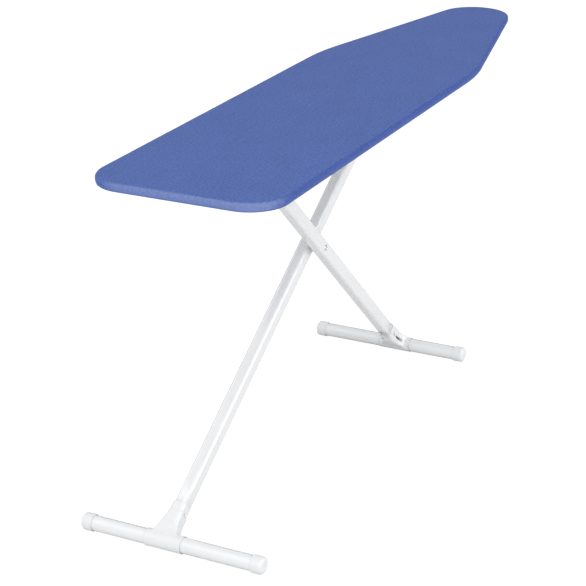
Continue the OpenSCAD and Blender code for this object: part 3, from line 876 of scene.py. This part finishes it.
def make_t_joint(side, place, length, body):
    """A collar round the leg, a web that flares into the sleeve, and the sleeve round the foot tube."""
    def field(u, y, z):
        shape = joint_body(u, y, z, JOINT_STYLES[side])
        return np.maximum(shape, -joint_slit(u, y, z)) if side == "front" else shape

    points, faces = surface_net(field, (-71.5, -36.5, -18.5), (17, 36.5, 18.5), JOINT_STEP)
    points[:, 0] += length
    return make_piece(side + "_joint", points, faces, plastic, body, [side + "_t_joint"], place=place)


def make_rivet(centre):
    """The scissor rivet: a dimpled head on the front leg, and a shank through both legs."""
    low, high = size_of("scissor_washer")
    face = -(LEG_W + (high[1] - low[1]) / 2)
    end = size_of("scissor_rivet")[1][1] - face
    profile = list(RIVET_SECTION) + [(4.0, end - 0.6), (3.4, end)]
    points, faces = lathe_y(profile, (centre[0], face, centre[2]), 40)
    return make_piece("scissor_pin", points, faces, rivet_steel, "rear_leg", ["scissor_rivet"], sharp=55)


def make_side(side, pivot, cross, body):
    """One leg with its foot. Returns the leg's frame and its length."""
    foot = middle(side + "_foot_tube")
    leg_y = middle(side + "_leg_tube")[1]
    place, length = leg_frame((pivot[0], leg_y, pivot[2]), (foot[0], leg_y, foot[2]))
    crossing = math.hypot(cross[0] - pivot[0], cross[2] - pivot[2])
    make_leg(side + "_leg", side + "_leg_tube", place, length, crossing, body)
    make_top_plug(side + "_plug", side + "_top_plug", place, body)
    make_foot_tube(side + "_foot", side + "_foot_tube", body)
    make_cap(side + "_cap_left", side + "_left_cap", body, 1)
    make_cap(side + "_cap_right", side + "_right_cap", body, -1)
    make_t_joint(side, place, length, body)
    return place, length


def make_set_screw(place, length):
    """A small socket screw under the collar of the front joint, which holds the leg tube."""
    turn = np.linspace(0, 2 * math.pi, 20, endpoint=False)
    rings = []
    for radius, out in SCREW_SECTION:
        x = length - SCREW_BACK + radius * np.cos(turn)
        rings.append(np.stack([x, SCREW_LEFT + radius * np.sin(turn), np.full(len(turn), -out)], 1))
    points, faces = skin_rings(rings, start_cap=True, end_cap=True)
    make_piece("front_set_screw", points, faces, wire_steel, "front_leg", [], sharp=40, place=place)


crossing_point = middle("scissor_washer")
make_rivet(middle("scissor_rivet"))
make_side("rear", middle("hinge_bolt"), crossing_point, "rear_leg")
make_set_screw(*make_side("front", middle("slide_pin"), crossing_point, "front_leg"))


# ---------------------------------------------------------------- grip and spring of the height lever

GRIP_RINGS, GRIP_FIRST, GRIP_PITCH = 9, 14, 6.4
WIRE_R = 0.9
COIL_TURNS, COIL_STEPS = 6, 32


def make_grip():
    """The moulded grip on the lever rod, ringed for the fingers."""
    low, high = size_of("lever_grip")
    rod = middle("lever_rod")
    length = high[1] - low[1]
    profile = [(1.0, 0.05), (3.2, 0.6), (5.2, 1.9), (6.8, 3.9), (7.7, 6.2), (8.0, 8.5)]
    groove = ((8.0, 0), (7.5, 0.7), (7.15, 1.6), (7.15, 2.4), (7.5, 3.3), (8.0, 4.0))
    for i in range(GRIP_RINGS):
        profile += [(radius, GRIP_FIRST + GRIP_PITCH * i + on) for radius, on in groove]
    flange = ((8.0, 5.5), (8.4, 4.6), (9.2, 4.1), (9.5, 3.4), (9.5, 0.6), (9.1, 0.1), (8.4, 0), (3.6, 0), (3.4, 0.6))
    profile += [(radius, length - back) for radius, back in flange]
    points, faces = lathe_y(profile, (rod[0], low[1], rod[2]), 48)
    return make_piece("lever_handle", points, faces, plastic, "height_lever", ["lever_grip"], sharp=50)


def make_spring():
    """The return spring, a true helix with one tail up to the rail flange."""
    low, high = size_of("lever_spring")
    centre = (low + high) / 2
    coil = (high[0] - low[0]) / 2 - WIRE_R
    start, end = high[1] - WIRE_R, low[1] + WIRE_R
    count = COIL_TURNS * COIL_STEPS
    path = [(centre[0] + coil + 0.1, start + 0.3, centre[2] + 9 - 1.6 * i) for i in range(6)]
    for i in range(count + 1):
        a = 2 * math.pi * i / COIL_STEPS
        path.append((centre[0] + coil * math.cos(a), start + (end - start) * i / count, centre[2] - coil * math.sin(a)))
    path = np.array(path)
    ahead = np.gradient(path, axis=0)
    ahead /= np.linalg.norm(ahead, axis=1)[:, None]
    side = np.cross(ahead, np.array([0.0, 1.0, 0.0]))
    side /= np.linalg.norm(side, axis=1)[:, None]
    up = np.cross(side, ahead)
    turn = np.linspace(0, 2 * math.pi, 12, endpoint=False)[:, None]
    rings = [p + WIRE_R * (np.cos(turn) * a + np.sin(turn) * b) for p, a, b in zip(path, side, up)]
    points, faces = skin_rings(rings, start_cap=True, end_cap=True)
    return make_piece("return_spring", points, faces, wire_steel, "board", ["lever_spring"], sharp=60)


make_grip()
make_spring()


# ---------------------------------------------------------------- pressed steel top

VENT_FIRST, VENT_STEP_X, VENT_STEP_Y = 70, 62, 52
VENT_OUTER = 12.0
VENT_SIDES = 28
VENT_SECTION = ((10.6, 0.35), (9.6, 1.1), (9.0, 2.4), (8.1, 2.4), (8.7, 1.4), (9.9, 1.35))   # radius, depth


def vent_places():
    """Centres of the vents: five rows over the wide part, fewer towards the nose."""
    places = []
    for i in range(20):
        x = TAIL_X + VENT_FIRST + VENT_STEP_X * i
        for row in range(-2, 3):
            fits = x < TAPER_X + 60 or (abs(row) < 2 and x < NOSE_X - 250) or row == 0
            if fits and x < NOSE_X - 30:
                places.append((x, VENT_STEP_Y * row))
    return places


def pierced_sheet(rim, places, circle):
    """Flat points and faces inside the rim, with a round hole at each place."""
    flat = np.concatenate([rim] + [np.array(p) + VENT_OUTER * circle for p in places])
    edges = [(i, (i + 1) % len(rim)) for i in range(len(rim))]
    for k in range(len(places)):
        base = len(rim) + k * VENT_SIDES
        edges += [(base + i, base + (i + 1) % VENT_SIDES) for i in range(VENT_SIDES)]
    grid = [(x, y) for x in np.arange(TAIL_X + 20, NOSE_X, 31) for y in np.arange(-160, 161, 26)
            if all(math.hypot(x - p[0], y - p[1]) > VENT_OUTER + 3 for p in places)]
    spots = [Vector(p) for p in np.concatenate([flat, np.array(grid)])]
    result = delaunay_2d_cdt(spots, edges, [], 1, 1e-4)
    verts = np.array([tuple(v) for v in result[0]])
    holes = np.array(places)
    middles = [verts[list(face)].mean(0) for face in result[2]]
    kept = [list(face) for face, c in zip(result[2], middles) if np.min(np.hypot(*(holes - c).T)) > VENT_OUTER - 0.4]
    return verts, kept


def make_panel():
    """The steel top: a sheet with vents whose rims are pressed down a little."""
    low, high = size_of("top_panel")
    bottom, top = low[2], high[2]
    rim = edge_ring(1.8, 0.0)[::2, :2]
    turn = np.linspace(0, 2 * math.pi, VENT_SIDES, endpoint=False)
    circle = np.stack([np.cos(turn), np.sin(turn)], 1)
    places = vent_places()
    verts, kept = pierced_sheet(rim, places, circle)
    parts = [(np.column_stack([verts, np.full(len(verts), top)]), kept),
             (np.column_stack([verts, np.full(len(verts), bottom)]), [face[::-1] for face in kept])]
    section = [(VENT_OUTER, top)] + [(radius, top - depth) for radius, depth in VENT_SECTION] + [(VENT_OUTER, bottom)]
    for p in places:
        parts.append(skin_rings([np.column_stack([np.array(p) + radius * circle, np.full(VENT_SIDES, z)])
                                 for radius, z in section]))
    parts.append(skin_rings([np.column_stack([rim, np.full(len(rim), z)]) for z in (bottom, top)]))
    points, faces = join_parts(parts)
    obj = make_piece("steel_top", points, faces, panel_enamel_fine, "board", ["top_panel"], sharp=40)
    weld(obj, 2e-6)
    return obj


make_panel()


# ---------------------------------------------------------------- materials of the nodes that stay as built

FINISHES = (
    (panel_enamel, ("rim_frame", "left_rail", "right_rail", "left_braces", "right_braces", "nose_ribs", "tail_rib")),
    (zinc, ("rail_rivets", "hinge_bolt", "hinge_nut", "hinge_washer", "lever_axle", "left_lock_arm", "right_lock_arm",
            "lever_rod", "scissor_nut", "scissor_washer", "slide_pin", "slide_clips")),
    (nylon, ("hinge_spacer", "rear_pivot_bush", "front_pivot_bush", "slide_sleeve", "slide_rollers")),
    (enamel, ("rear_joint_screws", "front_joint_screws")))
for paint, names in FINISHES:
    for name in names:
        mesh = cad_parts[name].data
        mesh.materials.clear()
        mesh.materials.append(paint)
